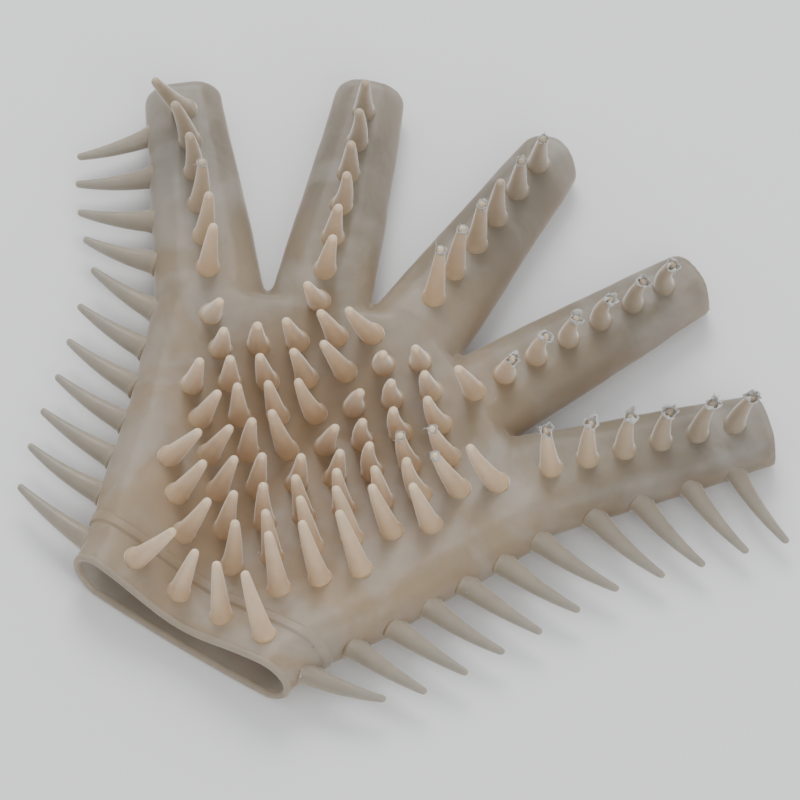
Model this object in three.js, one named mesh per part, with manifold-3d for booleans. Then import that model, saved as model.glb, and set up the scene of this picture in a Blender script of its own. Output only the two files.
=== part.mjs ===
// A pet grooming glove: a hollow five-finger glove moulded in soft translucent silicone, with rows of
// long tapering nubs on the palm and the fingers and a comb of spikes along its two outer edges.
// It lies on its back: +Y runs from the cuff to the middle finger, +X towards the thumb, and +Z is up
// out of the palm. Lengths are in millimetres. Inside this file Y is counted from the cuff's mouth, and
// the whole glove is then shifted so that the origin is on the flat back, under the middle of the palm.
import * as THREE from 'three';
import { mergeVertices } from 'three/addons/utils/BufferGeometryUtils.js';
import Module from 'manifold-3d';

const wasm = await Module();
wasm.setup();

// ---------------------------------------------------------------- driving dimensions
const ORIGIN_FROM_MOUTH = 85;
const WALL = 2;
const GAP = 0.35;                    // free space between neighbouring pieces
const CUFF_DEPTH = 22;               // thickness of the glove at its mouth
const KNUCKLE_DEPTH = 20;            // and where the fingers begin
const FINGERTIP_DEPTH = 16;
const MIDDLE_KNUCKLE_Y = 133.3;      // where the middle finger begins
const PARTING_HEIGHT = 9.6;          // where the palm side and the back meet

// The cuff's three rings: stations along the glove, and how far each stands proud of the wall there.
const BEAD = { stations: [0, 0.9, 2.9, 3.8], proud: [0.2, 0.7, 0.7, 0.2] };
const BAND = { stations: [4.15, 10, 14], proud: [0, 0, 0] };
const RIDGE = { stations: [14.35, 15.4, 17, 17.6, 18.7], proud: [0.2, 1.1, 1.1, 1.1, 0.2] };
const PALM_START = 19.05;
const PALM_END = 145;                // the palm's tube is cut off at the knuckle lines before this

const NUB = { length: 26, base: 3.7, tip: 1.35, sides: 8 };
const SPIKE = { length: 28, base: 3.9, tip: 1.15, sides: 8, bow: 0.3 };
const FOOT_SINK = 1;        // feet start inside the wall, and are trimmed just clear of it
const RIB = { width: 3, thickness: 2.5 };     // the thin root that ties one row of nubs together
const LATTICE = 9.2;                        // half the distance between neighbours in a palm row

// Half the palm's width against the distance from the mouth.
const EDGE = [[0, 41.3], [10, 41.6], [17, 44.3], [26, 50], [40, 56.5], [57, 62], [72, 68], [90, 74.8],
  [98, 78.5], [140, 97]];

// How far the middle of the palm side sags below its rim.
const SAG = [[0, 8], [85, 8], [115, 3.5], [133, 1], [140, 0.5]];

// A finger grows from the middle of its knuckle line, at a heading counted from +Y towards +X.
// line is the heading square to the knuckle line, cuts are the finger's own bending lines, and lean is
// how its first and last nubs lean, as sideways and forward shares of their rise.
const OUTER = { base: [63, 107.2], heading: 40, line: 32.2, width: 36.6, tip: 24, length: 77,
  nubStart: 4.4, nubStep: 12.2, nubCount: 6 };
const INNER = { base: [32.1, 125.1], heading: 22.4, line: 27.9, width: 34, tip: 21.5, length: 81,
  nubStart: 6.4, nubStep: 12.3, nubCount: 6 };
const MIDDLE = { base: [0, MIDDLE_KNUCKLE_Y], heading: 0, line: 0, width: 32.6, tip: 20, length: 81,
  nubStart: 8.5, nubStep: 12.25, nubCount: 6 };
const FINGERS = [
  { name: 'little', side: -1, ...OUTER, cuts: [22.7, 43], lean: [[0.03, 0.05], [-0.22, -0.15]] },
  { name: 'ring', side: -1, ...INNER, cuts: [24.9, 49.5], lean: [[0.15, -0.02], [0.07, -0.12]] },
  { name: 'middle', side: 1, ...MIDDLE, cuts: [26.9, 51.4], lean: [[0, 0.2], [0.18, -0.18]] },
  { name: 'index', side: 1, ...INNER, cuts: [24.9, 49.5], lean: [[0.25, -0.2], [0.2, -0.1]] },
  { name: 'thumb', side: 1, ...OUTER, cuts: [34.7], lean: [[-0.04, -0.05], [0.33, 0]] },
];
const SEGMENT_NAMES = { 2: ['base', 'tip'], 3: ['base', 'mid', 'tip'] };

// A finger's tube: how far back it starts, and how its closed end is drawn in. Each end station is a
// distance before the tip and a share of the full section.
const FINGER_START = -12;
const ROUNDED_END = [{ before: 6, share: 1 }, { before: 2, share: 0.93 }, { before: 0, share: 0.72 }];
const HOLLOW_START = -14;
const HOLLOW_END = [{ before: 7.5, share: 1 }, { before: WALL, share: 0.8 }];

// How the palm nubs lean: the lower ones in over the hollow, and the upper ones to the middle of their half.
const LEAN = {
  cuffStart: 10, atCuff: 0.021, easing: 0.0003, least: 0.0115,
  upperStart: 58, upperOver: 12, upper: 0.0105, halfMiddle: 24, parting: -5,
  forward: 0.0042, level: 42, edgeForward: 0.0035,
};

// An edge spike's angle from outward towards the fingertips, in degrees, and its change along the edge.
const PALM_SWEEP = { start: 9, change: -0.11 };
const FINGER_SWEEP = { start: 34, change: -0.58 };

const BEYOND = 400;         // larger than the glove, for trimming blocks
const WHOLE_FINGER = 100;   // and longer than a finger
const CUFF_BEFORE = -5;     // the cuff's hollow starts in front of the mouth

// Palm rows: distance from the mouth, and each nub's place across in half pitches.
const PALM_ROWS = [
  { y: 9.5, at: [-2.7, -0.9, 0.9, 2.7] },
  { y: 27, at: [-2, 0, 2] },
  { y: 36.6, at: [-3, -1, 1, 3] },
  { y: 46, at: [-4, -2, 0, 2, 4] },
  { y: 54.6, at: [-3, -1, 1, 3] },
  { y: 63.5, at: [-4, -2, 0, 2, 4] },
  { y: 71.9, at: [-5, -3, -1, 1, 3, 5] },
  { y: 80, at: [-4, -2, 0, 2, 4] },
  { y: 88, at: [-5, -3, -1, 1, 3, 5] },
  { y: 96.4, at: [-6, -4, -2, 0, 2, 4, 6] },
  { y: 105, at: [-3, -1, 1, 3] },
  { y: 113.4, at: [-2, 0, 2] },
  { y: 120.5, at: [-3.25, -1, 1, 3.25] },
];

// Edge spikes: distances from the mouth on the palm, and along the little finger and the thumb.
const PALM_SPIKES = [25.8, 38.7, 51.6, 64.5, 77.6, 91];
const CUFF_SPIKES = [9];
const FINGER_SPIKES = [13.9, 30.2, 47.4, 63.5];

// ---------------------------------------------------------------- small helpers
const radians = (degrees) => degrees * Math.PI / 180;

function interpolate(table, at) {
  for (let i = 1; i < table.length; i += 1) {
    const [x0, y0] = table[i - 1];
    const [x1, y1] = table[i];
    if (at <= x1) return y0 + (y1 - y0) * Math.max(0, (at - x0) / (x1 - x0));
  }
  return table[table.length - 1][1];
}

const palmDepth = (y) => CUFF_DEPTH + (KNUCKLE_DEPTH - CUFF_DEPTH) * Math.min(1, y / MIDDLE_KNUCKLE_Y);

function sag(x, y) {
  const spread = 0.5 * interpolate(EDGE, Math.min(y, 90));
  return interpolate(SAG, y) * Math.exp(-((x / spread) ** 2));
}

function solidOf(geometry) {
  const bare = geometry.clone();
  bare.deleteAttribute('normal');
  bare.deleteAttribute('uv');
  const merged = mergeVertices(bare, 1e-4);
  return new wasm.Manifold(new wasm.Mesh({
    numProp: 3,
    vertProperties: new Float32Array(merged.attributes.position.array),
    triVerts: new Uint32Array(merged.index.array),
  }));
}

function geometryOf(solid) {
  const mesh = solid.getMesh();
  const geometry = new THREE.BufferGeometry();
  geometry.setAttribute('position', new THREE.BufferAttribute(mesh.vertProperties, 3));
  geometry.setIndex(new THREE.BufferAttribute(mesh.triVerts, 1));
  geometry.computeVertexNormals();
  return geometry;
}

// A closed skin over a list of rings, each an equal number of points, with a fan over each end.
function loft(rings) {
  const count = rings[0].length;
  const points = rings.flat();
  const faces = [];
  for (let r = 0; r + 1 < rings.length; r += 1) {
    for (let i = 0; i < count; i += 1) {
      const a = r * count + i;
      const b = r * count + (i + 1) % count;
      faces.push(a, b, b + count, a, b + count, a + count);
    }
  }
  for (const [start, flip] of [[0, true], [(rings.length - 1) * count, false]]) {
    const middle = new THREE.Vector3();
    for (let i = 0; i < count; i += 1) middle.addScaledVector(points[start + i], 1 / count);
    points.push(middle);
    const hub = points.length - 1;
    for (let i = 0; i < count; i += 1) {
      const a = start + i;
      const b = start + (i + 1) % count;
      faces.push(hub, flip ? b : a, flip ? a : b);
    }
  }
  const geometry = new THREE.BufferGeometry();
  const flat = points.flatMap((p) => [p.x, p.y, p.z]);
  geometry.setAttribute('position', new THREE.Float32BufferAttribute(flat, 3));
  geometry.setIndex(faces);
  const solid = solidOf(geometry);
  return solid.volume() >= 0 ? solid : loft(rings.map((ring) => [...ring].reverse()));
}

// A trimming box: it starts at a point, runs on along a heading, and lies evenly to each side of it.
function block(start, size, heading = 0) {
  const geometry = new THREE.BoxGeometry(...size);
  geometry.translate(0, size[1] / 2, 0);
  geometry.rotateZ(-radians(heading));
  geometry.translate(...start);
  return solidOf(geometry);
}

// The outline of a flattened tube: straight above and below, with half-round sides.
function stadium(halfWidth, low, high, arcSteps, topSteps) {
  const radius = (high - low) / 2;
  const middle = (high + low) / 2;
  const flat = Math.max(0.2, halfWidth - radius);
  const points = [];
  for (const side of [1, -1]) {
    for (let i = 0; i <= arcSteps; i += 1) {
      const angle = radians(-90 + 180 * i / arcSteps);
      const across = flat + radius * Math.cos(angle);
      points.push([side * across, middle + side * radius * Math.sin(angle)]);
    }
    if (side === 1) {
      for (let i = 1; i < topSteps; i += 1) points.push([flat * (1 - 2 * i / topSteps), high]);
    }
  }
  return points;
}

// ---------------------------------------------------------------- palm, cuff and their hollow
function palmRing(y, offset) {
  const low = -offset;
  const high = palmDepth(y) + offset;
  const middle = (low + high) / 2;
  return stadium(interpolate(EDGE, y) + offset, low, high, 6, 10).map(([x, z]) => {
    const share = Math.max(0, (z - middle) / (high - middle));
    return new THREE.Vector3(x, y, z - sag(x, y) * share);
  });
}

function palmTube(stations, offsets) {
  return loft(stations.map((y, i) => palmRing(y, offsets[i])));
}

const PALM_STATIONS = [PALM_START, 26, 33, 40, 48, 57, 72, 81, 90, 98, 106, 115, 124, 133, PALM_END];
const CUFF_STATIONS = [CUFF_BEFORE, 4, 10, 17];
const palmEnvelope = palmTube([...CUFF_STATIONS, ...PALM_STATIONS],
  Array(CUFF_STATIONS.length + PALM_STATIONS.length).fill(GAP));

// A ring of the cuff: its outside follows the wall and stands proud of it, except on the flat back.
function cuffRing({ stations, proud }) {
  const bore = palmTube([CUFF_BEFORE, 10, 17, 25], Array(4).fill(-WALL));
  const belowBack = block([0, -BEYOND / 2, -BEYOND / 2], [BEYOND, BEYOND, BEYOND]);
  return palmTube(stations, proud).subtract(bore).subtract(belowBack);
}

// The palm between the wrist ridge and the five knuckle lines, as a shell.
function palmShell() {
  const outside = palmTube(PALM_STATIONS, PALM_STATIONS.map(() => 0));
  const inside = palmTube([PALM_START - 3, ...PALM_STATIONS.slice(1)], PALM_STATIONS.map(() => -WALL));
  let shell = outside.subtract(inside);
  for (const finger of FINGERS) {
    shell = shell.subtract(block([finger.side * finger.base[0], finger.base[1], 0], [BEYOND, BEYOND, BEYOND],
      finger.side * finger.line));
  }
  return shell;
}

function splitPalm() {
  const shell = palmShell();
  const size = [BEYOND, BEYOND, BEYOND];
  const above = block([0, -BEYOND / 2, PARTING_HEIGHT + (BEYOND + GAP) / 2], size);
  const below = block([0, -BEYOND / 2, PARTING_HEIGHT - (BEYOND + GAP) / 2], size);
  return { palm: shell.intersect(above), back: shell.intersect(below) };
}

// ---------------------------------------------------------------- fingers
// A finger's own frame: along the finger, across it towards the glove's outer edge, and up.
function fingerFrame(finger) {
  const heading = radians(finger.heading) * finger.side;
  const along = new THREE.Vector3(Math.sin(heading), Math.cos(heading), 0);
  const across = new THREE.Vector3(along.y, -along.x, 0).multiplyScalar(finger.side);
  const base = new THREE.Vector3(finger.side * finger.base[0], finger.base[1], 0);
  return {
    along,
    across,
    point: (s, x, z) => base.clone().addScaledVector(along, s).addScaledVector(across, x).setZ(z),
  };
}

const fingerHalfWidth = (finger, s) => (finger.width + (finger.tip - finger.width) * s / finger.length) / 2;
const fingerDepth = (finger, s) => KNUCKLE_DEPTH + (FINGERTIP_DEPTH - KNUCKLE_DEPTH) * s / finger.length;

function fingerRing(finger, s, inset, shrink = 1) {
  const frame = fingerFrame(finger);
  const depth = fingerDepth(finger, s);
  const half = (fingerHalfWidth(finger, s) - inset) * shrink;
  const rise = (depth / 2 - inset) * shrink;
  return stadium(half, depth / 2 - rise, depth / 2 + rise, 6, 1)
    .map(([x, z]) => frame.point(s, x, z));
}

function fingerTube(finger, offset) {
  const end = ROUNDED_END.map(({ before, share }) => (
    fingerRing(finger, finger.length - before + (before ? 0 : offset), -offset, share)));
  return loft([fingerRing(finger, FINGER_START, -offset), ...end]);
}

function fingerShell(finger) {
  const outside = fingerTube(finger, 0);
  const end = HOLLOW_END.map(({ before, share }) => (
    fingerRing(finger, finger.length - before, WALL, share)));
  const inside = loft([fingerRing(finger, HOLLOW_START, WALL), ...end]);
  const heading = finger.side * finger.line;
  const normal = [Math.sin(radians(heading)), Math.cos(radians(heading))];
  const start = [finger.side * finger.base[0] + normal[0] * GAP, finger.base[1] + normal[1] * GAP, 0];
  return outside.subtract(inside).intersect(block(start, [BEYOND, BEYOND, BEYOND], heading));
}

function fingerSegments(finger) {
  const shell = fingerShell(finger);
  const frame = fingerFrame(finger);
  const limits = [-WHOLE_FINGER, ...finger.cuts, WHOLE_FINGER];
  return SEGMENT_NAMES[limits.length - 1].map((part, i) => {
    const from = limits[i] + (i > 0 ? GAP / 2 : 0);
    const to = limits[i + 1] - GAP / 2;
    const corner = frame.point(from, 0, 0);
    const slice = block([corner.x, corner.y, 0], [BEYOND, to - from, BEYOND], finger.heading * finger.side);
    return { name: `${finger.name}_sleeve_${part}`, solid: shell.intersect(slice), from, to };
  });
}

// ---------------------------------------------------------------- nubs and spikes
// A tapering round cone. bow is how far its middle stands off the straight line to its tip.
function cone({ foot, direction, bow }, size) {
  const axis = direction.clone().normalize();
  const sideways = new THREE.Vector3(0, 0, 1).cross(axis);
  if (sideways.length() < 0.05) sideways.set(1, 0, 0);
  sideways.normalize();
  const other = axis.clone().cross(sideways);
  const shares = bow ? [0, 0.5, 1] : [0, 1];
  return loft(shares.map((share) => {
    const radius = size.base + (size.tip - size.base) * share;
    const centre = foot.clone().addScaledVector(axis, share * size.length);
    if (bow) centre.addScaledVector(bow, 4 * share * (1 - share));
    return Array.from({ length: size.sides }, (_, i) => {
      const angle = 2 * Math.PI * i / size.sides;
      return centre.clone().addScaledVector(sideways, radius * Math.cos(angle))
        .addScaledVector(other, radius * Math.sin(angle));
    });
  }));
}

// A thin bar between two feet. normal is the way the row's cones point.
function rib(from, to, normal) {
  const run = to.clone().sub(from);
  const width = run.clone().cross(normal).normalize().multiplyScalar(RIB.width / 2);
  const lift = normal.clone().multiplyScalar(RIB.thickness);
  const ring = (centre) => [
    centre.clone().add(width), centre.clone().sub(width),
    centre.clone().sub(width).add(lift), centre.clone().add(width).add(lift),
  ];
  return loft([ring(from), ring(to)]);
}

function row(cones, normal, size) {
  let solid = cone(cones[0], size);
  for (let i = 1; i < cones.length; i += 1) {
    solid = solid.add(cone(cones[i], size)).add(rib(cones[i - 1].foot, cones[i].foot, normal));
  }
  return solid;
}

const UP = new THREE.Vector3(0, 0, 1);

// The direction of a palm nub, by its place: see LEAN.
function palmLean(x, y) {
  const upper = Math.min(Math.max((y - LEAN.upperStart) / LEAN.upperOver, 0), 1);
  const overHollow = -Math.max(LEAN.least, LEAN.atCuff - LEAN.easing * (y - LEAN.cuffStart)) * x;
  const overHalf = -LEAN.upper * (x - (x > LEAN.parting ? 1 : -1) * LEAN.halfMiddle);
  const across = overHollow + (overHalf - overHollow) * upper;
  const forward = -LEAN.forward * (y - LEAN.level) + LEAN.edgeForward * Math.abs(x) * (1 - upper);
  return new THREE.Vector3(across, forward, 1);
}

function fingerLean(finger, s) {
  const [first, last] = finger.lean;
  const share = s / finger.length;
  return new THREE.Vector3(...first, 1).lerp(new THREE.Vector3(...last, 1), share);
}

function palmNubRow({ y, at }) {
  const cones = at.map((place) => {
    const x = place * LATTICE;
    const foot = new THREE.Vector3(x, y, palmDepth(y) - sag(x, y) - FOOT_SINK);
    return { foot, direction: palmLean(x, y) };
  });
  return row(cones, UP, NUB).subtract(palmEnvelope);
}

function fingerNubs(finger, from, to) {
  const frame = fingerFrame(finger);
  const places = Array.from({ length: finger.nubCount }, (_, i) => finger.nubStart + finger.nubStep * i)
    .filter((s) => s > from && s < to);
  const cones = places.map((s) => (
    { foot: frame.point(s, 0, fingerDepth(finger, s) - FOOT_SINK), direction: fingerLean(finger, s) }));
  return row(cones, UP, NUB).subtract(fingerTube(finger, GAP));
}

// A spike lies in the plane of the parting line. sweep is its angle from outward towards the fingertips,
// in degrees, and it bows a little towards the cuff.
function edgeSpike(foot, outward, side, sweep) {
  const direction = outward.clone().applyAxisAngle(UP, side * radians(sweep));
  const bow = new THREE.Vector3(direction.y, -direction.x, 0).multiplyScalar(side * SPIKE.bow);
  return { foot, direction, bow };
}

function palmEdgeSpikes(side, places) {
  const outward = new THREE.Vector3(side, 0, 0);
  const cones = places.map((y) => {
    const foot = new THREE.Vector3(side * (interpolate(EDGE, y) - FOOT_SINK), y, palmDepth(y) / 2);
    return edgeSpike(foot, outward, side, PALM_SWEEP.start + PALM_SWEEP.change * y);
  });
  return row(cones, outward, SPIKE).subtract(palmEnvelope);
}

function fingerEdgeSpikes(finger, from, to) {
  const frame = fingerFrame(finger);
  const places = FINGER_SPIKES.filter((s) => s > from && s < to);
  const cones = places.map((s) => {
    const foot = frame.point(s, fingerHalfWidth(finger, s) - FOOT_SINK, fingerDepth(finger, s) / 2);
    return edgeSpike(foot, frame.across, finger.side, FINGER_SWEEP.start + FINGER_SWEEP.change * s);
  });
  return row(cones, frame.across, SPIKE).subtract(fingerTube(finger, GAP));
}

// ---------------------------------------------------------------- the glove
const silicone = (hex) => new THREE.MeshStandardMaterial({ color: hex, roughness: 0.4, metalness: 0 });
const SKIN = 0xb3a595;
const CUFF = 0xa39a8c;
const TIPS = 0xc0ab91;
const EDGES = 0x9b968c;

const root = new THREE.Group();
const glove = new THREE.Group();
glove.position.y = -ORIGIN_FROM_MOUTH;
root.add(glove);

function place(name, solid, hex) {
  const mesh = new THREE.Mesh(geometryOf(solid), silicone(hex));
  mesh.name = name;
  glove.add(mesh);
}

place('cuff_bead', cuffRing(BEAD), CUFF);
place('cuff_band', cuffRing(BAND), CUFF);
place('wrist_ridge', cuffRing(RIDGE), CUFF);
const { palm, back } = splitPalm();
place('palm_wall', palm, SKIN);
place('back_wall', back, SKIN);

PALM_ROWS.forEach((entry, i) => {
  const name = i === 0 ? 'cuff_nubs' : `palm_nubs_${String(i).padStart(2, '0')}`;
  place(name, palmNubRow(entry), TIPS);
});

for (const [side, hand] of [[-1, 'little'], [1, 'thumb']]) {
  place(`cuff_spike_${hand}_side`, palmEdgeSpikes(side, CUFF_SPIKES), EDGES);
  place(`palm_spikes_${hand}_side`, palmEdgeSpikes(side, PALM_SPIKES), EDGES);
}

for (const finger of FINGERS) {
  for (const { name, solid, from, to } of fingerSegments(finger)) {
    place(name, solid, SKIN);
    place(name.replace('sleeve', 'nubs'), fingerNubs(finger, from, to), TIPS);
    if (finger.base === OUTER.base) {
      place(name.replace('sleeve', 'spikes'), fingerEdgeSpikes(finger, from, to), EDGES);
    }
  }
}

export default root;
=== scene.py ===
"""Looks for a five-finger grooming glove: one soft, milky silicone moulding, palm side up.

Except where a heading says metres, lengths are millimetres in the glove's own frame, in which Y runs from
the cuff's mouth to the middle fingertip. to_row() turns them into the row frame, in metres.
"""
import math
import random

import bmesh
import bpy
import numpy as np
from mathutils import Matrix, Vector, noise
from mathutils.bvhtree import BVHTree


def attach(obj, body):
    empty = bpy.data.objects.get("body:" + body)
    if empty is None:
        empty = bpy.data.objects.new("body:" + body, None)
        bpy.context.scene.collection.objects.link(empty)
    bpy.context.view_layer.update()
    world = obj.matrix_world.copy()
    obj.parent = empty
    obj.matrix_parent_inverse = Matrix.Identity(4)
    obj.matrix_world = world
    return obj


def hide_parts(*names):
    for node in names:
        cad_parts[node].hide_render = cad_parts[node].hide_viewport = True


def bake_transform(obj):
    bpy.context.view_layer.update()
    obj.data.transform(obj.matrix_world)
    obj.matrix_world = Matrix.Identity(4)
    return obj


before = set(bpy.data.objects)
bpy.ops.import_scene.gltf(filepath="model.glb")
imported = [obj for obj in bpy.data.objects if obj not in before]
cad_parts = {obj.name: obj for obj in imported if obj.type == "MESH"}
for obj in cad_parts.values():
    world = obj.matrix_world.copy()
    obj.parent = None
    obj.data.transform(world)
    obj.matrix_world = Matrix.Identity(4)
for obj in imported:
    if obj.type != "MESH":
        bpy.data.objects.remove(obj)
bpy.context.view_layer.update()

# ---------------------------------------------------------------- driving dimensions, mm
ORIGIN_FROM_MOUTH = 85
WALL = 2
CUFF_DEPTH = 22
KNUCKLE_DEPTH = 20
FINGERTIP_DEPTH = 16
MIDDLE_KNUCKLE_Y = 133.3
EDGE = [(-20, 40.7), (0, 40.7), (10, 42.6), (17, 45), (26, 49.5), (40, 55.7), (57, 61.4), (72, 67.6),
        (90, 74.5), (98, 76.3)]
# the hand lies a little askew: its middle, from the mouth to the knuckles
MIDDLE_LINE = [(12, -1.5), (45, 0.8)]
MOUTH_BOW = 1.6             # the rim bows forward in the middle
SAG = [(0, 8), (85, 8), (115, 3.5), (133, 1), (140, 0.5)]
WEB = [(98, 76.5), (104, 68), (109, 59), (113.5, 50), (120.5, 35), (128, 19)]

OUTER = {"base": (63, 107.2), "heading": 40, "line": 32.2, "width": 35.4, "tip": 24, "length": 77,
         "nubs": [4.4 + 12.2 * i for i in range(6)], "dome": 1.5, "corner": 1}
INNER = {"base": (32.1, 125.1), "heading": 22.4, "line": 27.9, "width": 33, "tip": 22.3, "length": 81,
         "nubs": [6.4 + 12.3 * i for i in range(6)], "dome": 2, "corner": 1.4}
MIDDLE = {"base": (0, 133.3), "heading": -0.8, "line": 0, "width": 32.6, "tip": 20.4, "length": 82,
          "nubs": [8.5 + 12.25 * i for i in range(6)], "dome": 4.5, "corner": 1.8}
FINGERS = [
    {"name": "little", "side": -1, **OUTER, "heading": 41, "cuts": [22.7, 43], "dome": 1, "corner": 2.8,
     "lean": [(0.03, 0.08), (-0.46, -0.58)], "late": 3, "claw": (0.3, 0)},
    {"name": "ring", "side": -1, **INNER, "cuts": [24.9, 49.5], "lean": [(0.15, -0.02), (0.07, -0.12)],
     "claw": (0.3, 0)},
    {"name": "middle", "side": 1, **MIDDLE, "cuts": [26.9, 51.4], "lean": [(0, 0.2), (0.18, -0.18)],
     "claw": (-0.3, 0)},
    {"name": "index", "side": 1, **INNER, "cuts": [24.9, 49.5], "dome": 3,
     "lean": [(0.25, -0.2), (0.2, -0.1)], "claw": (-1.2, -0.7)},
    {"name": "thumb", "side": 1, **OUTER, "heading": 39.5, "tip": 24.8, "cuts": [34.7],
     "lean": [(-0.04, -0.05), (0.33, 0)], "claw": (-0.7, -0.4)},
]
FINGER_REACH = 34           # how far the finger tubes run back into the palm

PITCH = 9.2                 # half the distance between neighbours in a row
# each row of the palm's nubs: its distance from the mouth, and its places across, in pitches
PALM_ROWS = [
    (9.5, (-2.7, -0.9, 0.9, 2.7)),
    (27, (-2, 0, 2)),
    (36.6, (-3, -1, 1, 3)),
    (46, (-4, -2, 0, 2, 4)),
    (54.6, (-3, -1, 1, 3)),
    (63.5, (-4, -2, 0, 2, 4)),
    (71.9, (-5, -3, -1, 1, 3, 5)),
    (80, (-4, -2, 0, 2, 4)),
    (88, (-5, -3, -1, 1, 3, 5)),
    (96.4, (-6, -4, -2, 0, 2, 4, 6)),
    (105, (-3, -1, 1, 3)),
    (113.4, (-2, 0, 2)),
    (120.5, (-3.25, -1, 1, 3.25)),
]
NUB = {"length": 26, "base": 3.85, "tip": 1.5}
SPIKE = {"base": 4.4, "tip": 1.25}
SPIKE_SINK = 2.3            # a spike's foot lies wholly inside the rounded side of the wall
SPIKE_BOW = 1.0
SPIKE_DROOP = 0.06
# for each edge (-1 little, 1 thumb): how far a spike stands out at the mouth, the knuckle and the fingertip
SPIKE_LENGTH = {-1: (31, 25, 23), 1: (26, 30, 28)}
# and its sweep towards the fingertips, in degrees: the cuff's, the palm's, at a finger's root, at its tip
SPIKE_SWEEP = {-1: (9, 4, 40, -22), 1: (15, -1, 34, 12)}
SPIKE_SHIFT = {-1: 1.5, 1: 0}       # the palm's spikes stand this much further along
SPIKE_DRAW = 0.975                  # a finger's spikes are drawn in to its root
FOOT_SINK = 1
CUFF_SPIKE = 9
PALM_SPIKES = [25.8, 38.7, 51.6, 64.5, 77.6, 91]
FINGER_SPIKES = [13.9, 30.2, 47.4, 63.5]

BEAD_Y = 1.9
BEAD_PROUD = 0.5
RIDGE_Y = 16.5
RIDGE_HALF = 1.9
RIDGE_PROUD = 0.8
VOXEL = 1.0
BLEND_START = 1             # a finger's first piece has its start point this far past a knuckle line
BLEND_END = 12.5
ROOT_PIECE = 15.5           # the first piece of a finger ends here
FLASH_CHANCE = {"thumb": 0.97, "index": 0.97, "middle": 0.5, "ring": 0.15, "little": 0.15}
FLASH_SIZE = {"thumb": 1.9, "index": 1.4, "middle": 0.6, "ring": 0.4, "little": 0.4}
ALONG = "along"             # 0 at the foot of a nub or spike, 1 at its tip
SEED = 41
CONE_SIDES = 20             # corners round a nub or spike
LEAN_JITTER = 0.014         # how unevenly soft parts stand: a nub's lean (share of its rise), bows in mm,
NUB_BOW_JITTER = 0.25       # and a spike's turn in degrees
SPIKE_BOW_JITTER = 0.2
SPIKE_TURN_JITTER = 0.6
RAGGED_ROWS = (88, 96.4, 105, 120.5)    # palm rows that have film on their nubs, on the thumb's half
RAGGED_CHANCE = 0.6
RAGGED_SIZE = 0.55
FINGER_WHISKERS = 5         # threads of film at a finger's end, and beside the cuff's spike
CUFF_WHISKERS = 9
CROTCHES = ((47.5, 118), (16.7, 134))   # the bottoms of the gaps between the fingers, on each half
CROTCH_REACH = 8
SMOOTH_ROUNDS = 4
CROTCH_ROUNDS = 18

# ---------------------------------------------------------------- colours and studio; lengths in metres
PALM_MIDDLE = (0, -0.03, 0.012)
# the colour of the painted shade on the upright sides of the walls
SIDE_SHADE_BROWN = (0.42, 0.285, 0.18)
HAZE = (0.6, 0.58, 0.53)
DUST = (0.85, 0.83, 0.79)
LIT_THROUGH = (0.92, 0.87, 0.8)
CAMERA_AZIMUTH = 34
CAMERA_ELEVATION = 60
CAMERA_DISTANCE = 6
CAMERA_TARGET = (0.0096, 0.0233, 0.011)
FRAME_WIDTH = 0.2548
SENSOR = 36                 # mm
FLOOR_HALF = 4.0
FLOOR_DROP = 0.0005

MM = 0.001
UP = np.array([0, 0, 1])


# ---------------------------------------------------------------- small helpers
def to_row(points):
    """Glove millimetres to the row frame, in metres."""
    return (np.asarray(points, float) - (0, ORIGIN_FROM_MOUTH, 0)) * MM


def table(pairs, at):
    return np.interp(at, [p[0] for p in pairs], [p[1] for p in pairs])


def middle_line(y):
    return table(MIDDLE_LINE, y)


def mouth_bow(x, y):
    """How far the mouth's rim bows forward."""
    return MOUTH_BOW * (1 - (x / 43) ** 2) * np.clip(1 - y / 14, 0, 1)


def palm_depth(y):
    return CUFF_DEPTH + (KNUCKLE_DEPTH - CUFF_DEPTH) * np.clip(np.asarray(y) / MIDDLE_KNUCKLE_Y, 0, 1)


def sag(x, y):
    """How far the palm side sinks towards the back, at rest."""
    spread = 0.5 * table(EDGE, np.minimum(y, 90))
    return table(SAG, y) * np.exp(-((np.asarray(x) / spread) ** 2))


def stadium(half_width, low, high, arc=12, top=12):
    """A flattened tube's outline, as (across, up): straight above and below, with half-round sides."""
    radius = (high - low) / 2
    middle = (high + low) / 2
    round_half = min(radius, half_width)
    flat = half_width - round_half
    angles = [math.radians(-90 + 180 * i / arc) for i in range(arc + 1)]
    right = [(flat + round_half * math.cos(a), middle + radius * math.sin(a)) for a in angles]
    over = [(flat * (1 - 2 * i / top), high) for i in range(1, top)]
    left = [(-across, 2 * middle - up) for across, up in right]
    under = [(-across, low) for across, _ in over]
    return right + over + left + under


def finger_frame(finger):
    """Unit vectors along and across a finger, and its base, in the glove's plane."""
    heading = math.radians(finger["heading"]) * finger["side"]
    along = np.array([math.sin(heading), math.cos(heading), 0])
    across = np.array([along[1], -along[0], 0]) * finger["side"]
    base = np.array([finger["side"] * finger["base"][0], finger["base"][1], 0])
    return along, across, base


def finger_half(finger, s):
    share = np.clip(s / finger["length"], 0, 1)
    return (finger["width"] + (finger["tip"] - finger["width"]) * share) / 2


def finger_depth(finger, s):
    if s < 0:
        return KNUCKLE_DEPTH - 0.015 * s
    return KNUCKLE_DEPTH + (FINGERTIP_DEPTH - KNUCKLE_DEPTH) * s / finger["length"]


def make_object(name, points, faces, materials=()):
    """A smooth-shaded mesh object from points in the row frame."""
    mesh = bpy.data.meshes.new(name)
    mesh.from_pydata(np.asarray(points).tolist(), [], faces)
    mesh.shade_smooth()
    for material in materials:
        mesh.materials.append(material)
    obj = bpy.data.objects.new(name, mesh)
    bpy.context.scene.collection.objects.link(obj)
    return obj


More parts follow.
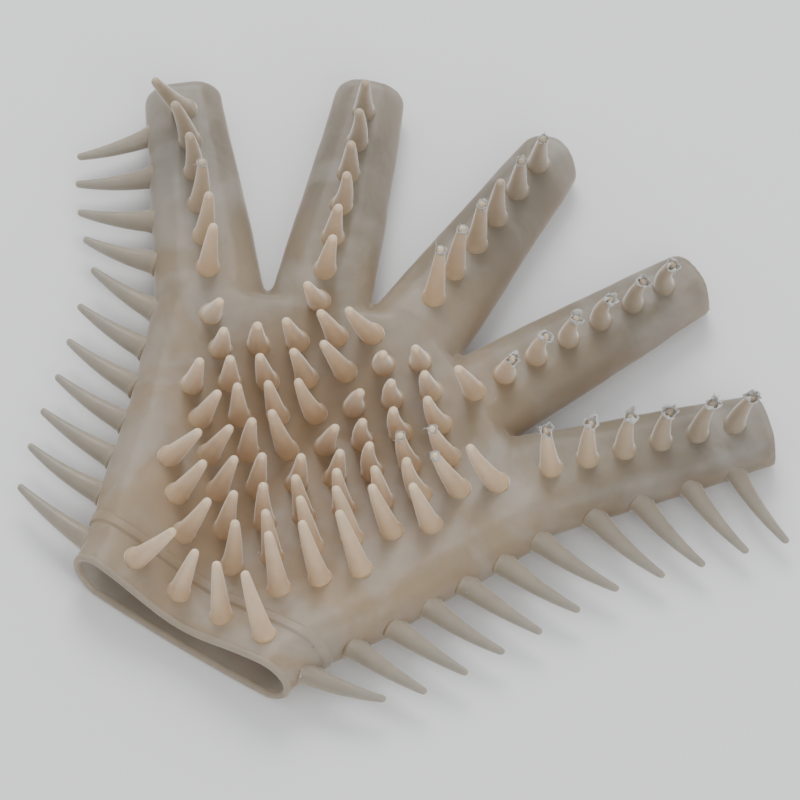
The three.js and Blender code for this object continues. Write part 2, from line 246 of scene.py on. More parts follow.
def apply_modifiers(obj):
    depsgraph = bpy.context.evaluated_depsgraph_get()
    mesh = bpy.data.meshes.new_from_object(obj.evaluated_get(depsgraph))
    obj.modifiers.clear()
    obj.data = mesh


def points_of(mesh):
    flat = np.zeros(len(mesh.vertices) * 3, np.float32)
    mesh.vertices.foreach_get("co", flat)
    return flat.reshape(-1, 3).astype(float)


def normals_of(mesh):
    flat = np.zeros(len(mesh.vertices) * 3, np.float32)
    mesh.vertex_normals.foreach_get("vector", flat)
    return flat.reshape(-1, 3).astype(float)


def set_points(mesh, points):
    mesh.vertices.foreach_set("co", np.asarray(points, np.float32).ravel())
    mesh.update()


class Builder:
    """Collects the points and faces of several closed forms, for one mesh."""

    def __init__(self):
        self.points = []
        self.along = []
        self.faces = []
        self.kinds = []

    def loft(self, rings, caps=True, kind=0):
        start = len(self.points)
        count = len(rings[0])
        for r, ring in enumerate(rings):
            self.points.extend(np.asarray(ring, float))
            self.along += [r / (len(rings) - 1)] * count
        for r in range(len(rings) - 1):
            for i in range(count):
                a = start + r * count + i
                b = start + r * count + (i + 1) % count
                self.faces.append((a, b, b + count, a + count))
                self.kinds.append(kind)
        if caps:
            last = start + (len(rings) - 1) * count
            self.faces.append(tuple(range(start + count - 1, start - 1, -1)))
            self.faces.append(tuple(range(last, last + count)))
            self.kinds += [kind, kind]

    def build(self, name, materials=()):
        obj = make_object(name, to_row(self.points), self.faces, materials)
        obj.data.polygons.foreach_set("material_index", self.kinds)
        obj.data.attributes.new(ALONG, "FLOAT", "POINT").data.foreach_set("value", self.along)
        return obj


# ---------------------------------------------------------------- materials
def shader(name):
    """A new node material, a shorthand to add nodes to it, and one to join two sockets."""
    material = bpy.data.materials.new(name)
    material.use_nodes = True
    tree = material.node_tree
    tree.nodes.clear()

    def add(kind, **sockets):
        node = tree.nodes.new(kind)
        for key, value in sockets.items():
            node.inputs[key.replace("_", " ")].default_value = value
        return node

    def join(a, b):
        tree.links.new(a, b)

    return material, add, join


def ramp(add, join, source, stops):
    """A colour ramp over a 0 to 1 value, from (place, colour) stops."""
    node = add("ShaderNodeValToRGB")
    node.color_ramp.elements.remove(node.color_ramp.elements[1])
    for i, (place, colour) in enumerate(stops):
        element = node.color_ramp.elements[0] if i == 0 else node.color_ramp.elements.new(place)
        element.position = place
        element.color = (*colour, 1)
    join(source, node.inputs["Fac"])
    return node.outputs["Color"]


def mix_colours(add, join, factor, a, b, blend="MIX"):
    node = add("ShaderNodeMix")
    node.data_type = "RGBA"
    node.blend_type = blend
    for socket, value in ((node.inputs[0], factor), (node.inputs[6], a), (node.inputs[7], b)):
        if isinstance(value, bpy.types.NodeSocket):
            join(value, socket)
        else:
            socket.default_value = (*value, 1) if isinstance(value, tuple) else value
    return node.outputs[2]


def spread(add, join, source, low, high, to_low=0.0, to_high=1.0):
    """A value moved from one range to another, and held inside it."""
    node = add("ShaderNodeMapRange")
    join(source, node.inputs["Value"])
    node.inputs["From Min"].default_value = low
    node.inputs["From Max"].default_value = high
    node.inputs["To Min"].default_value = to_low
    node.inputs["To Max"].default_value = to_high
    return node.outputs["Result"]


def clouds(add, join, place, scale, detail=3.0, rough=0.55):
    node = add("ShaderNodeTexNoise", Scale=scale, Detail=detail, Roughness=rough)
    join(place, node.inputs["Vector"])
    return node.outputs["Fac"]


def milky_colour(add, join, place, light, dark, warm, far, ends):
    """Clouds from dark to light, warmer in the middle of the palm, and turning to ends and to far."""
    cloudy = spread(add, join, clouds(add, join, place, 24), 0.34, 0.66)
    colour = ramp(add, join, cloudy, [(0.0, dark), (1.0, light)])
    from_middle = add("ShaderNodeVectorMath")
    from_middle.operation = "DISTANCE"
    join(place, from_middle.inputs[0])
    from_middle.inputs[1].default_value = PALM_MIDDLE
    distance = from_middle.outputs["Value"]
    colour = mix_colours(add, join, spread(add, join, distance, 0.02, 0.09, 0.9, 0.0), colour, warm)
    if ends:
        along = add("ShaderNodeAttribute")
        along.attribute_name = ALONG
        colour = mix_colours(add, join, spread(add, join, along.outputs["Fac"], 0.1, 0.75), colour, ends)
    if far:
        out = spread(add, join, distance, 0.085, 0.13, 0.0, 0.85)
        colour = mix_colours(add, join, out, colour, far)
    return colour


def shade_upright_sides(add, join, colour, strength):
    # Painted shade: the upright sides turn darker and browner according to the slope of the surface. This
    # stands in for the denser look of the wall where it is seen edge-on at its outline.
    side = add("ShaderNodeSeparateXYZ")
    join(add("ShaderNodeTexCoord").outputs["Normal"], side.inputs[0])
    level = add("ShaderNodeMath")
    level.operation = "ABSOLUTE"
    join(side.outputs["Z"], level.inputs[0])
    share = spread(add, join, level.outputs[0], 0.15, 0.8, strength, 0.0)
    return mix_colours(add, join, share, colour, SIDE_SHADE_BROWN)


def haze_and_dust(add, join, place, colour, wisps):
    """Pale haze that drifts in the silicone, a faint mottle, and specks of dust on it."""
    if wisps:
        haze = add("ShaderNodeTexNoise", Scale=34.0, Detail=4.0, Roughness=0.6, Distortion=0.9)
        join(place, haze.inputs["Vector"])
        share = spread(add, join, haze.outputs["Fac"], 0.46, 0.64, 0.0, wisps)
        colour = mix_colours(add, join, share, colour, HAZE)
    shades = [(0.3, (0.9, 0.9, 0.9)), (0.7, (1.0, 1.0, 1.0))]
    mottle = ramp(add, join, clouds(add, join, place, 170, 4.0), shades)
    colour = mix_colours(add, join, 1.0, colour, mottle, "MULTIPLY")
    dust = add("ShaderNodeTexVoronoi", Scale=150.0)
    join(place, dust.inputs["Vector"])
    dust_size = spread(add, join, clouds(add, join, place, 60), 0.5, 0.75, 0.0, 0.06)
    is_dust = add("ShaderNodeMath")
    is_dust.operation = "LESS_THAN"
    join(dust.outputs["Distance"], is_dust.inputs[0])
    join(dust_size, is_dust.inputs[1])
    return mix_colours(add, join, is_dust.outputs[0], colour, DUST)


def silicone_relief(add, join, place, normal):
    """Fine grain, on slower waves."""
    grain = add("ShaderNodeBump", Strength=0.1, Distance=0.0003)
    join(clouds(add, join, place, 1300, 2.0), grain.inputs["Height"])
    slow = add("ShaderNodeBump", Strength=0.18, Distance=0.001)
    join(clouds(add, join, place, 120, 2.0), slow.inputs["Height"])
    join(grain.outputs["Normal"], slow.inputs["Normal"])
    join(slow.outputs["Normal"], normal)


def let_through(add, join, surface, colour, facing, glow, clear):
    """Lets light through a wall, and lets what is behind it show where the wall is seen square on."""
    if glow:
        through = add("ShaderNodeBsdfTranslucent")
        join(mix_colours(add, join, 0.6, colour, LIT_THROUGH), through.inputs["Color"])
        milky = add("ShaderNodeMixShader", Fac=glow)
        join(surface, milky.inputs[1])
        join(through.outputs[0], milky.inputs[2])
        surface = milky.outputs[0]
    thin = add("ShaderNodeMixShader")
    join(spread(add, join, facing, 0.1, 0.85, clear, 0.0), thin.inputs[0])
    join(surface, thin.inputs[1])
    join(add("ShaderNodeBsdfTransparent").outputs[0], thin.inputs[2])
    return thin.outputs[0]


def silicone(name, light, dark, warm, far=None, ends=None, glow=0.4, clear=0.1, depth=0.0, edge=0.0,
             wisps=0.0, roughness=0.42):
    """Milky silicone. It clouds from light to dark over some centimetres and turns warm where it sinks to
    the middle of the palm, and to far on the fingers. ends is its colour towards the free end of a nub or
    spike. glow is the share of light that passes through a wall, clear how much shows through it, depth how
    far light spreads inside a solid piece, in metres, edge how strongly painted shade turns its upright
    sides darker and browner, and wisps how much pale haze drifts in it."""
    material, add, join = shader(name)
    place = add("ShaderNodeTexCoord").outputs["Object"]
    colour = milky_colour(add, join, place, light, dark, warm, far, ends)
    # painted shade on the upright sides, darker and browner according to their slope
    colour = shade_upright_sides(add, join, colour, edge)
    colour = haze_and_dust(add, join, place, colour, wisps)

    body = add("ShaderNodeBsdfPrincipled", IOR=1.41, Coat_Weight=0.25, Coat_Roughness=0.2,
               Sheen_Roughness=0.3, Subsurface_Weight=1.0 if depth else 0.0, Subsurface_Scale=depth)
    body.inputs["Subsurface Radius"].default_value = (1.0, 0.8, 0.62)
    body.inputs["Sheen Tint"].default_value = (1.0, 0.96, 0.9, 1)
    join(colour, body.inputs["Base Color"])
    facing = add("ShaderNodeLayerWeight", Blend=0.35).outputs["Facing"]
    join(spread(add, join, facing, 0.3, 0.75, 0.1, 1.0), body.inputs["Sheen Weight"])
    patchy = clouds(add, join, place, 260, 2.0)
    join(spread(add, join, patchy, 0.3, 0.7, roughness - 0.06, roughness + 0.08), body.inputs["Roughness"])
    silicone_relief(add, join, place, body.inputs["Normal"])
    surface = let_through(add, join, body.outputs[0], colour, facing, glow, clear)
    join(surface, add("ShaderNodeOutputMaterial").inputs["Surface"])
    return material


def make_materials():
    wall = {"light": (0.44, 0.335, 0.215), "dark": (0.33, 0.27, 0.19), "warm": (0.55, 0.37, 0.21),
            "far": (0.26, 0.225, 0.175)}
    return {
        "skin": silicone("silicone_skin", **wall, clear=0.15, glow=0.45, edge=0.55, wisps=0.4),
        "inside": silicone("silicone_inside", (0.53, 0.485, 0.41), (0.39, 0.355, 0.3), (0.46, 0.41, 0.33),
                           glow=0.5, clear=0.25, wisps=0.3),
        "cuff": silicone("silicone_cuff", (0.5, 0.42, 0.32), (0.43, 0.365, 0.28), (0.45, 0.37, 0.265),
                         clear=0.2, edge=0.1),
        "nubs": silicone("silicone_nubs", (0.61, 0.43, 0.255), (0.52, 0.375, 0.225), (0.6, 0.41, 0.24),
                         far=(0.34, 0.285, 0.215), ends=(0.67, 0.53, 0.38), glow=0.0, clear=0.1,
                         depth=0.004),
        "spikes": silicone("silicone_spikes", (0.37, 0.3, 0.21), (0.33, 0.265, 0.19), (0.36, 0.29, 0.2),
                           ends=(0.33, 0.305, 0.25), glow=0.0, clear=0.16, depth=0.003),
        "flash": silicone("silicone_flash", (0.8, 0.8, 0.78), (0.62, 0.62, 0.6), (0.75, 0.74, 0.71),
                          glow=0.3, clear=0.15, roughness=0.22),
    }


# ---------------------------------------------------------------- the skin
def palm_rings():
    """Sections across the hand, from beyond the mouth up to the middle finger's knuckle."""
    rings = []
    places = [(y, table(EDGE, y)) for y in np.arange(-8, 98.1, 2.0)] + WEB[1:]
    for y, half in places:
        outline = stadium(half, 0, palm_depth(y), top=24)
        rings.append([(x + middle_line(y), y, z) for x, z in outline])
    return rings


def finger_rings(finger):
    """Sections across a finger, from inside the palm to its closed, rounded end."""
    along, across, base = finger_frame(finger)
    length = finger["length"]
    corner = finger["corner"]
    straight = [-FINGER_REACH, -20, -10, 0, 15, 30, 45, 60, length - 14, length - corner]
    rounded = [length - corner * (1 - math.sin(math.radians(a))) for a in (25, 45, 62, 77, 88)]
    rings = []
    for s in straight + rounded:
        in_corner = max(0.0, s - (length - corner))
        drawn_in = corner - math.sqrt(max(0.0, corner ** 2 - in_corner ** 2))
        depth = finger_depth(finger, s)
        half = finger_half(finger, s) - drawn_in
        outline = stadium(half, drawn_in, depth - drawn_in)
        ring = []
        for x, z in outline:
            share = np.clip((s - length + 16) / 16, 0, 1)
            dome = finger["dome"] * (x / finger_half(finger, s)) ** 2 * share
            ring.append(base + along * (s - dome) + across * x + (0, 0, z))
        rings.append(ring if finger["side"] > 0 else ring[::-1])
    return rings


def crotches():
    """The bottoms of the four gaps between the fingers."""
    return [(side * x, y, KNUCKLE_DEPTH / 2) for side in (-1, 1) for x, y in CROTCHES]


def soften(obj):
    """Smooths the joined forms, and rounds the gaps between the fingers more."""
    points = points_of(obj.data)
    group = obj.vertex_groups.new(name="crotch")
    weights = np.zeros(len(points))
    for place in to_row(crotches()):
        distance2 = ((points - place) ** 2).sum(1)
        weights = np.maximum(weights, np.exp(-distance2 / (CROTCH_REACH * MM) ** 2))
    for i in np.nonzero(weights > 0.02)[0]:
        group.add([int(i)], float(weights[i]), "REPLACE")
    for name, rounds, where in (("all", SMOOTH_ROUNDS, ""), ("crotch", CROTCH_ROUNDS, "crotch")):
        modifier = obj.modifiers.new(name, "SMOOTH")
        modifier.factor = 0.5
        modifier.iterations = rounds
        modifier.vertex_group = where
    apply_modifiers(obj)


def cut_rings(mesh, heights):
    """Opens the mouth at the first height, and adds edge rings at the others."""
    bm = bmesh.new()
    bm.from_mesh(mesh)
    for i, y in enumerate(heights):
        bmesh.ops.bisect_plane(bm, geom=bm.verts[:] + bm.edges[:] + bm.faces[:], dist=1e-5,
                               plane_co=to_row((0, y, 0)), plane_no=(0, 1, 0), clear_inner=(i == 0))
    bm.to_mesh(mesh)
    bm.free()


def shape_skin(mesh):
    """The hollow of the palm, the wrist ridge and the slight waviness of a soft wall."""
    points = points_of(mesh)
    normals = normals_of(mesh)
    x, y, z = (points / MM + (0, ORIGIN_FROM_MOUTH, 0)).T
    middle = palm_depth(y) / 2
    share = np.clip((z - middle) / middle, 0, 1)
    depth = sag(x, y) * share
    off = (y - RIDGE_Y) / RIDGE_HALF
    ridge = np.clip(1.35 * (1 - np.abs(off) ** 3), 0, 1) * RIDGE_PROUD
    slow = np.array([noise.noise(Vector(p) * 45) * 0.5 for p in points])
    quick = np.array([noise.noise(Vector(p) * 150) * 0.12 for p in points])
    upper = np.clip(z / 4, 0, 1)
    push = ridge * np.clip(z / 1.5, 0, 1) + (slow + quick) * upper
    points += normals * (push * MM)[:, None]
    points[:, 1] -= mouth_bow(x, y) * MM
    points[:, 2] -= depth * MM
    points[:, 2] = np.maximum(points[:, 2], 0)
    set_points(mesh, points)


def build_skin(materials):
    """The whole glove's wall, as one mesh, with its inside."""
    forms = Builder()
    forms.loft(palm_rings())
    for finger in FINGERS:
        forms.loft(finger_rings(finger))
    obj = forms.build("skin")
    remesh = obj.modifiers.new("join", "REMESH")
    remesh.mode = "VOXEL"
    remesh.voxel_size = VOXEL * MM
    apply_modifiers(obj)
    soften(obj)
    cut_rings(obj.data, [BEAD_Y, *np.arange(RIDGE_Y - 3.2, RIDGE_Y + 3.3, 0.4)])
    shape_skin(obj.data)
    wall = obj.modifiers.new("wall", "SOLIDIFY")
    wall.thickness = WALL * MM
    wall.offset = -1
    wall.material_offset = 1
    obj.data.materials.append(materials["skin"])
    obj.data.materials.append(materials["inside"])
    apply_modifiers(obj)
    obj.data.shade_smooth()
    return obj


# ---------------------------------------------------------------- the skin's pieces
def finger_zones(finger):
    """A finger's pieces: the CAD nodes they stand for, their ends along the finger, and how they bend."""
    name = finger["name"]
    side = finger["side"]
    along, _, base = finger_frame(finger)
    line = math.radians(finger["line"]) * side
    normal = np.array([math.sin(line), math.cos(line), 0])
    lift = np.array([0, 0, KNUCKLE_DEPTH / 2])
    cuts = finger["cuts"]
    bodies = ["palm", f"{name}_base", f"{name}_mid", f"{name}_tip"] if len(cuts) == 2 else (
        ["palm", f"{name}_base", f"{name}_tip"])
    parts = ["base", "mid", "tip"] if len(cuts) == 2 else ["base", "tip"]
    reach = cuts[0] - ROOT_PIECE if len(cuts) == 2 else 9.5
    ends = [-5.0, ROOT_PIECE, *[(a + b) / 2 for a, b in zip(cuts, cuts[1:])], finger["length"] + 20.0]
    zones = []
    for i, part in enumerate(parts):
        if i == 0:
            start, end = base + normal * BLEND_START, base + normal * BLEND_END
        else:
            start, end = base + along * (cuts[i - 1] - reach), base + along * (cuts[i - 1] + reach)
        zones.append({"part": part, "node": f"{name}_sleeve_{part}", "nubs": f"{name}_nubs_{part}",
                      "spikes": f"{name}_spikes_{part}", "from": ends[i], "to": ends[i + 1],
                      "bodies": (bodies[i], bodies[i + 1]),
                      "start": to_row(start + lift), "end": to_row(end + lift)})
    return zones


def bend(obj):
    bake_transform(obj)


def face_owners(mesh):
    """For each face, 0 for the palm, or a number for one piece of one finger."""
    centres = np.zeros(len(mesh.polygons) * 3, np.float32)
    mesh.polygons.foreach_get("center", centres)
    centres = centres.reshape(-1, 3) * 1000.0 + (0, ORIGIN_FROM_MOUTH, 0)
    owner = np.zeros(len(centres), int)
    nearest = np.full(len(centres), np.inf)
    for f, finger in enumerate(FINGERS):
        along, across, base = finger_frame(finger)
        line = math.radians(finger["line"]) * finger["side"]
        normal = np.array([math.sin(line), math.cos(line), 0])
        beyond = (centres - base) @ normal
        s = (centres - base) @ along
        off = np.abs((centres - base) @ across)
        off_share = off / np.maximum(finger_half(finger, s), 1)
        mine = (beyond > 0) & (off_share < nearest) & (off_share < 1.6)
        nearest[mine] = off_share[mine]
        ends = [z["to"] for z in finger_zones(finger)]
        owner[mine] = 1 + 3 * f + np.searchsorted(ends, s[mine])
    return owner


def take_faces(source, name, faces, chosen, normals, materials):
    """A new object with some of a mesh's faces, which keeps the whole mesh's smooth normals."""
    faces = faces[chosen]
    used = np.unique(faces)
    index = np.full(len(source.vertices), -1)
    index[used] = np.arange(len(used))
    rows = [tuple(dict.fromkeys(f)) for f in index[faces].tolist()]
    piece = make_object(name, points_of(source)[used], rows, [materials["skin"], materials["inside"]])
    kinds = np.zeros(len(source.polygons), np.int32)
    source.polygons.foreach_get("material_index", kinds)
    piece.data.polygons.foreach_set("material_index", np.minimum(kinds[chosen], 1))
    piece.data.normals_split_custom_set_from_vertices(normals[used].tolist())
    return piece


def face_table(mesh):
    """Each face's four corners; a triangle repeats its last."""
    faces = np.zeros((len(mesh.polygons), 4), int)
    for i, polygon in enumerate(mesh.polygons):
        corners = list(polygon.vertices)
        faces[i] = (corners + corners[-1:])[:4]
    return faces


def split_skin(skin, materials):
    """Cuts the skin into the palm and the pieces of the fingers, at places where it doesn't bend."""
    mesh = skin.data
    fix = bmesh.new()
    fix.from_mesh(mesh)
    bmesh.ops.triangulate(fix, faces=[f for f in fix.faces if len(f.verts) > 4])
    fix.to_mesh(mesh)
    fix.free()
    normals = normals_of(mesh)
    faces = face_table(mesh)
    owner = face_owners(mesh)
    palm = take_faces(mesh, "palm_skin", faces, owner == 0, normals, materials)
    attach(palm, "palm")
    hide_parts("palm_wall", "back_wall", "cuff_band", "wrist_ridge")
    for f, finger in enumerate(FINGERS):
        for i, zone in enumerate(finger_zones(finger)):
            piece = take_faces(mesh, f"{finger['name']}_skin_{zone['part']}", faces,
                               owner == 1 + 3 * f + i, normals, materials)
            bend(piece)
            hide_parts(zone["node"])
    bpy.data.objects.remove(skin)


# ---------------------------------------------------------------- the cuff's bead
def build_bead(materials):
    """The rolled rim of the mouth, swept round the same flattened outline."""
    depth = palm_depth(BEAD_Y)
    outline = np.array(stadium(table(EDGE, BEAD_Y), 0, depth, arc=20, top=60))
    share = np.clip((outline[:, 1] - depth / 2) / (depth / 2), 0, 1)
    outline[:, 1] -= sag(outline[:, 0], BEAD_Y) * share
    outline[:, 0] += middle_line(BEAD_Y)
    ahead = np.roll(outline, -1, 0) - np.roll(outline, 1, 0)
    out = np.stack([ahead[:, 1], -ahead[:, 0]], 1)
    out /= np.linalg.norm(out, axis=1)[:, None]
    half = (WALL - 0.2 + BEAD_PROUD) / 2
    rings = []
    for p, n in zip(outline, out):
        low = p[1] < 0.5
        middle = p + n * (-half if low else BEAD_PROUD - half)
        wobble = 1 + 0.07 * noise.noise(Vector((p[0] * 0.11, p[1] * 0.11, 7)))
        ring = []
        for i in range(14):
            angle = 2 * math.pi * i / 14
            side = middle + n * half * wobble * math.cos(angle)
            front = BEAD_Y - 0.3 - mouth_bow(p[0], BEAD_Y)
            ring.append((side[0], front + 1.35 * math.sin(angle), max(side[1], 0)))
        rings.append(ring)
    rings.append(rings[0])
    forms = Builder()
    forms.loft(rings, caps=False)
    bead = forms.build("cuff_rim", [materials["cuff"]])
    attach(bead, "palm")
    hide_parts("cuff_bead")


# ---------------------------------------------------------------- nubs and spikes
def cone_rings(foot, axis, size, bow, flare):
    """A tapering cone with a flared foot and a rounded tip, bowed by bow in its middle."""
    axis = np.asarray(axis, float) / np.linalg.norm(axis)
    sideways = np.cross((0, 0, 1) if abs(axis[2]) < 0.9 else (1, 0, 0), axis)
    sideways /= np.linalg.norm(sideways)
    other = np.cross(axis, sideways)
    length, base, tip = size["length"], size["base"], size["tip"]
    profile = [(-0.2, base + flare), (FOOT_SINK - 0.1, base + flare * 0.9),
               (FOOT_SINK + 0.25, base + flare * 0.25), (FOOT_SINK + 0.8, base - 0.3)]
    end = length - tip
    for share in (0.14, 0.26, 0.4, 0.55, 0.7, 0.85):
        profile.append((share * length, base - 0.35 + (tip - base + 0.35) * (share * length / end)))
    for angle in (0, 30, 55, 75):
        a = math.radians(angle)
        profile.append((end + tip * math.sin(a), tip * math.cos(a)))
    rings = []
    for along, radius in profile:
        share = max(along, 0) / length
        centre = np.asarray(foot) + axis * along + np.asarray(bow) * (4 * share * (1 - share))
        turns = [2 * math.pi * i / CONE_SIDES for i in range(CONE_SIDES)]
        rings.append([centre + sideways * radius * math.cos(t) + other * radius * math.sin(t)
                      for t in turns])
    return rings


def waves(rng, counts, low, high):
    """A closed wavy line round a ring, as a function of the turn."""
    parts = [(k, rng.uniform(0, 2 * math.pi), rng.uniform(low, high)) for k in counts]
    return lambda turn: sum(size * math.sin(k * turn + phase) for k, phase, size in parts)


def add_whisker(forms, start, away, axis, rng):
    """A short, bent thread of film."""
    swing = np.cross(axis, away) * rng.uniform(-1, 1)
    knee = start + away * rng.uniform(0.3, 0.9) + axis * rng.uniform(-0.3, 0.5)
    tip = knee + (away + swing) * rng.uniform(0.3, 0.9) + axis * rng.uniform(-0.5, 0.8)
    for a, b, thick in ((start, knee, 0.16), (knee, tip, 0.11)):
        across = np.cross(b - a, axis)
        across /= max(np.linalg.norm(across), 1e-6)
        rings = [[p + across * w, p + axis * w, p - across * w] for p, w in ((a, thick), (b, thick / 2))]
        forms.loft(rings, kind=1)


def flash_rings(forms, rings, rng, size):
    """The crumpled, open collar of thin film that the mould's vent leaves round a tip."""
    below, end = np.array(rings[-5]), np.array(rings[-4])
    centre = end.mean(0)
    axis = centre - below.mean(0)
    axis /= np.linalg.norm(axis)
    out_wave = waves(rng, (1, 2, 3, 5), 0.1, 0.3)
    up_wave = waves(rng, (1, 2, 3, 4), 0.12, 0.35)
    lip_wave = waves(rng, (1, 3, 4, 6), 0.15, 0.4)
    collar = [[], [], [], []]
    for i, point in enumerate(end):
        away = (point - centre) / np.linalg.norm(point - centre)
        turn = 2 * math.pi * i / len(end)
        out = size * (0.45 + out_wave(turn)) + rng.uniform(-0.08, 0.08)
        rise = size * (1.15 + up_wave(turn)) + rng.uniform(-0.1, 0.1)
        lip = size * lip_wave(turn)
        collar[0].append(point - away * 0.2 - axis * 0.6)
        collar[1].append(point + away * max(out * 0.8, 0.1) + axis * rise * 0.35)
        collar[2].append(point + away * max(out, -0.5) + axis * rise * 0.8)
        collar[3].append(point + away * max(out * 0.5 + lip, -0.9) + axis * rise * 1.15)
    lining = [[point + (centre - point) * 0.05 + axis * 0.1 for point in ring] for ring in collar[::-1]]
    forms.loft([*collar, *lining, collar[0]], caps=False, kind=1)
    for _ in range(round(1.5 * size)):
        start = collar[2][rng.randrange(len(end))]
        add_whisker(forms, start, (start - centre) / np.linalg.norm(start - centre), axis, rng)


def surface_height(tree, x, y):
    """How high the palm side lies at a place, mm."""
    start = Vector(to_row((x, y, 80)).tolist())
    hit, _, _, _ = tree.ray_cast(start, Vector((0, 0, -1)))
    return hit.z * 1000 if hit else float(palm_depth(y) - sag(x, y))


def add_nub(forms, tree, x, y, lean, bow, rng, flash=0):
    foot = np.array([x, y, surface_height(tree, x, y) - FOOT_SINK])
    jitter = np.array([rng.gauss(0, LEAN_JITTER), rng.gauss(0, LEAN_JITTER), 0])
    size = {**NUB, "length": NUB["length"] + rng.uniform(-0.5, 0.4)}
    bow = (bow[0] + rng.gauss(0, NUB_BOW_JITTER), bow[1] + rng.gauss(0, NUB_BOW_JITTER), 0)
    rings = cone_rings(foot, np.asarray(lean) + jitter, size, bow, flare=0.2)
    forms.loft(rings)
    if flash:
        flash_rings(forms, rings, rng, flash)


def palm_lean(x, y):
    """The lower nubs lean in over the palm's hollow, and the upper ones to the middle of their half."""
    upper = min(max((y - 58) / 12, 0), 1)
    over_hollow = -max(0.0115, 0.021 - 0.0003 * (y - 10)) * x
    over_half = -0.0105 * (x - math.copysign(24, x + 5))
    across = over_hollow + (over_half - over_hollow) * upper
    return (across, -0.0042 * (y - 42) + 0.0035 * abs(x) * (1 - upper), 1)


def finger_lean(finger, s):
    start, end = np.array(finger["lean"])
    across, along = start + (end - start) * (s / finger["length"]) ** finger.get("late", 1)
    return (across, along, 1)


def build_palm_nubs(tree, materials):
    rng = random.Random(SEED)
    for i, (y, places) in enumerate(PALM_ROWS):
        node = "cuff_nubs" if i == 0 else f"palm_nubs_{i:02d}"
        forms = Builder()
        for place in places:
            x = place * PITCH
            ragged = place > 1 and y in RAGGED_ROWS and rng.random() < RAGGED_CHANCE
            claw = (-0.8, -0.3) if x > -5 and 75 < y < 118 else (0, 0)
            add_nub(forms, tree, x, y, palm_lean(x, y), claw, rng, flash=RAGGED_SIZE if ragged else 0)
        obj = forms.build(f"{node}_soft", [materials["nubs"], materials["flash"]])
        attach(obj, "palm")
        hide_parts(node)


def build_finger_nubs(tree, materials):
    rng = random.Random(SEED + 1)
    for finger in FINGERS:
        along, across, base = finger_frame(finger)
        for zone in finger_zones(finger):
            forms = Builder()
            for s in finger["nubs"]:
                if not zone["from"] < s <= zone["to"]:
                    continue
                place = base + along * s
                ragged = rng.random() < FLASH_CHANCE[finger["name"]]
                claw = np.array(finger["claw"]) * min(s / 30, 1)
                add_nub(forms, tree, place[0], place[1], finger_lean(finger, s), claw, rng,
                        flash=FLASH_SIZE[finger["name"]] if ragged else 0)
            if zone["part"] == "tip" and FLASH_SIZE[finger["name"]] > 1:
                end = finger["length"] - finger["dome"] - 0.6
                corner = base + along * end + across * (finger_half(finger, end) - 0.5)
                corner[2] = finger_depth(finger, end) * 0.55
                for _ in range(FINGER_WHISKERS):
                    add_whisker(forms, corner, across, UP, rng)
            obj = forms.build(f"{zone['nubs']}_soft", [materials["nubs"], materials["flash"]])
            bend(obj)
            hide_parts(zone["nubs"])


def spike_sweep(side, travel):
    cuff, palm, root, tip = SPIKE_SWEEP[side]
    past_knuckle = travel - OUTER["base"][1]
    if past_knuckle > 0:
        return root + (tip - root) * past_knuckle / OUTER["length"]
    return cuff if travel < RIDGE_Y else palm


def spike_length(side, travel):
    knuckle = OUTER["base"][1]
    return np.interp(travel, (0, knuckle, knuckle + OUTER["length"]), SPIKE_LENGTH[side])


def add_spike(forms, foot, outward, side, travel, rng):
    """travel is how far along the edge the spike stands, counted from the mouth."""
    turn = math.radians(spike_sweep(side, travel) + rng.gauss(0, SPIKE_TURN_JITTER)) * side
    direction = np.array(Matrix.Rotation(turn, 3, "Z") @ Vector(outward))
    bow = np.array([direction[1], -direction[0], 0]) * side * (SPIKE_BOW + rng.gauss(0, SPIKE_BOW_JITTER))
    slim = 1 - 0.15 * min(max((travel - 130) / 40, 0), 1)
    size = {"base": SPIKE["base"] * slim, "tip": SPIKE["tip"],
            "length": spike_length(side, travel) + SPIKE_SINK + rng.uniform(-0.3, 0.3)}
    direction[2] -= SPIKE_DROOP
    forms.loft(cone_rings(foot, direction, size, bow, flare=0.3))


def build_palm_spikes(side, materials):
    rng = random.Random(SEED + 2 + side)
    edge = "thumb_side" if side > 0 else "little_side"
    for node, places in ((f"cuff_spike_{edge}", [CUFF_SPIKE]), (f"palm_spikes_{edge}", PALM_SPIKES)):
        forms = Builder()
        for place in places:
            y = place + SPIKE_SHIFT[side]
            x = side * (table(EDGE, y) - SPIKE_SINK) + middle_line(y)
            add_spike(forms, (x, y, palm_depth(y) / 2), (side, 0, 0), side, y, rng)
        if side > 0 and node.startswith("cuff"):
            start = np.array([x + SPIKE_SINK, y - 3.2, palm_depth(y) * 0.72])
            for _ in range(CUFF_WHISKERS):
                add_whisker(forms, start, np.array([0.6, -0.8, 0]), UP, rng)
        obj = forms.build(f"{node}_soft", [materials["spikes"], materials["flash"]])
        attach(obj, "palm")
        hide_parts(node)


def build_finger_spikes(finger, materials):
    rng = random.Random(SEED + 5 + finger["side"])
    along, across, base = finger_frame(finger)
    for zone in finger_zones(finger):
        forms = Builder()
        for place in FINGER_SPIKES:
            if not zone["from"] < place <= zone["to"]:
                continue
            s = place * SPIKE_DRAW
            foot = base + along * s + across * (finger_half(finger, s) - SPIKE_SINK)
            foot[2] = finger_depth(finger, s) / 2
            add_spike(forms, foot, across, finger["side"], base[1] + s, rng)
        obj = forms.build(f"{zone['spikes']}_soft", [materials["spikes"]])
        bend(obj)
        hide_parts(zone["spikes"])


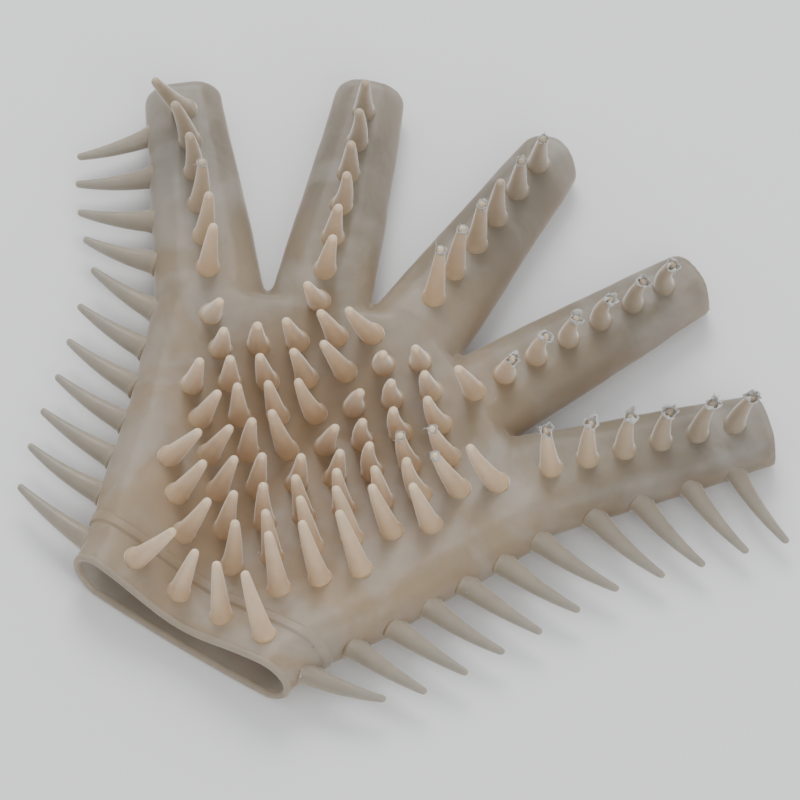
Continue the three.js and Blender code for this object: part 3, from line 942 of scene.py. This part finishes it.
# ---------------------------------------------------------------- studio
def build_floor():
    material, add, join = shader("studio_floor")
    body = add("ShaderNodeBsdfPrincipled", Roughness=0.7)
    body.inputs["Base Color"].default_value = (0.78, 0.775, 0.765, 1)
    output = add("ShaderNodeOutputMaterial")
    join(body.outputs[0], output.inputs["Surface"])
    corners = [(x * FLOOR_HALF, y * FLOOR_HALF, 0) for x, y in ((-1, -1), (1, -1), (1, 1), (-1, 1))]
    floor = make_object("studio_floor", corners, [(0, 1, 2, 3)], [material])
    floor.location.z = -FLOOR_DROP


def add_area_light(name, place, power, size, target=(0, 0, 0.01)):
    """A round lamp at a place, in metres, that points to the glove."""
    data = bpy.data.lights.new(name, "AREA")
    data.energy = power
    data.shape = "DISK"
    data.size = size
    light = bpy.data.objects.new(name, data)
    bpy.context.scene.collection.objects.link(light)
    light.location = place
    light.rotation_euler = (Vector(target) - Vector(place)).to_track_quat("-Z", "Y").to_euler()


def build_lights():
    add_area_light("key", place=(-0.55, 0.75, 1.1), power=12, size=0.8)
    add_area_light("fill", place=(0.9, -0.5, 1.0), power=6, size=0.9)
    world = bpy.data.worlds.new("studio")
    bpy.context.scene.world = world
    world.use_nodes = True
    world.node_tree.nodes["Background"].inputs["Color"].default_value = (0.92, 0.95, 1.0, 1)
    world.node_tree.nodes["Background"].inputs["Strength"].default_value = 1.0


def build_camera():
    azimuth, elevation = math.radians(CAMERA_AZIMUTH), math.radians(CAMERA_ELEVATION)
    back = Vector((math.sin(azimuth) * math.cos(elevation), -math.cos(azimuth) * math.cos(elevation),
                   math.sin(elevation)))
    data = bpy.data.cameras.new("camera")
    data.sensor_width = SENSOR
    data.lens = SENSOR * CAMERA_DISTANCE / FRAME_WIDTH
    data.clip_end = 30
    camera = bpy.data.objects.new("camera", data)
    bpy.context.scene.collection.objects.link(camera)
    camera.location = Vector(CAMERA_TARGET) + back * CAMERA_DISTANCE
    camera.rotation_euler = back.to_track_quat("Z", "Y").to_euler()
    bpy.context.scene.camera = camera


# ---------------------------------------------------------------- the glove
def build_glove():
    materials = make_materials()
    skin = build_skin(materials)
    points = [Vector(p) for p in points_of(skin.data).tolist()]
    faces = [list(p.vertices) for p in skin.data.polygons]
    tree = BVHTree.FromPolygons(points, faces)
    split_skin(skin, materials)
    build_bead(materials)
    build_palm_nubs(tree, materials)
    build_finger_nubs(tree, materials)
    for side in (-1, 1):
        build_palm_spikes(side, materials)
    build_finger_spikes(FINGERS[0], materials)
    build_finger_spikes(FINGERS[-1], materials)


build_glove()
build_floor()
build_lights()
build_camera()
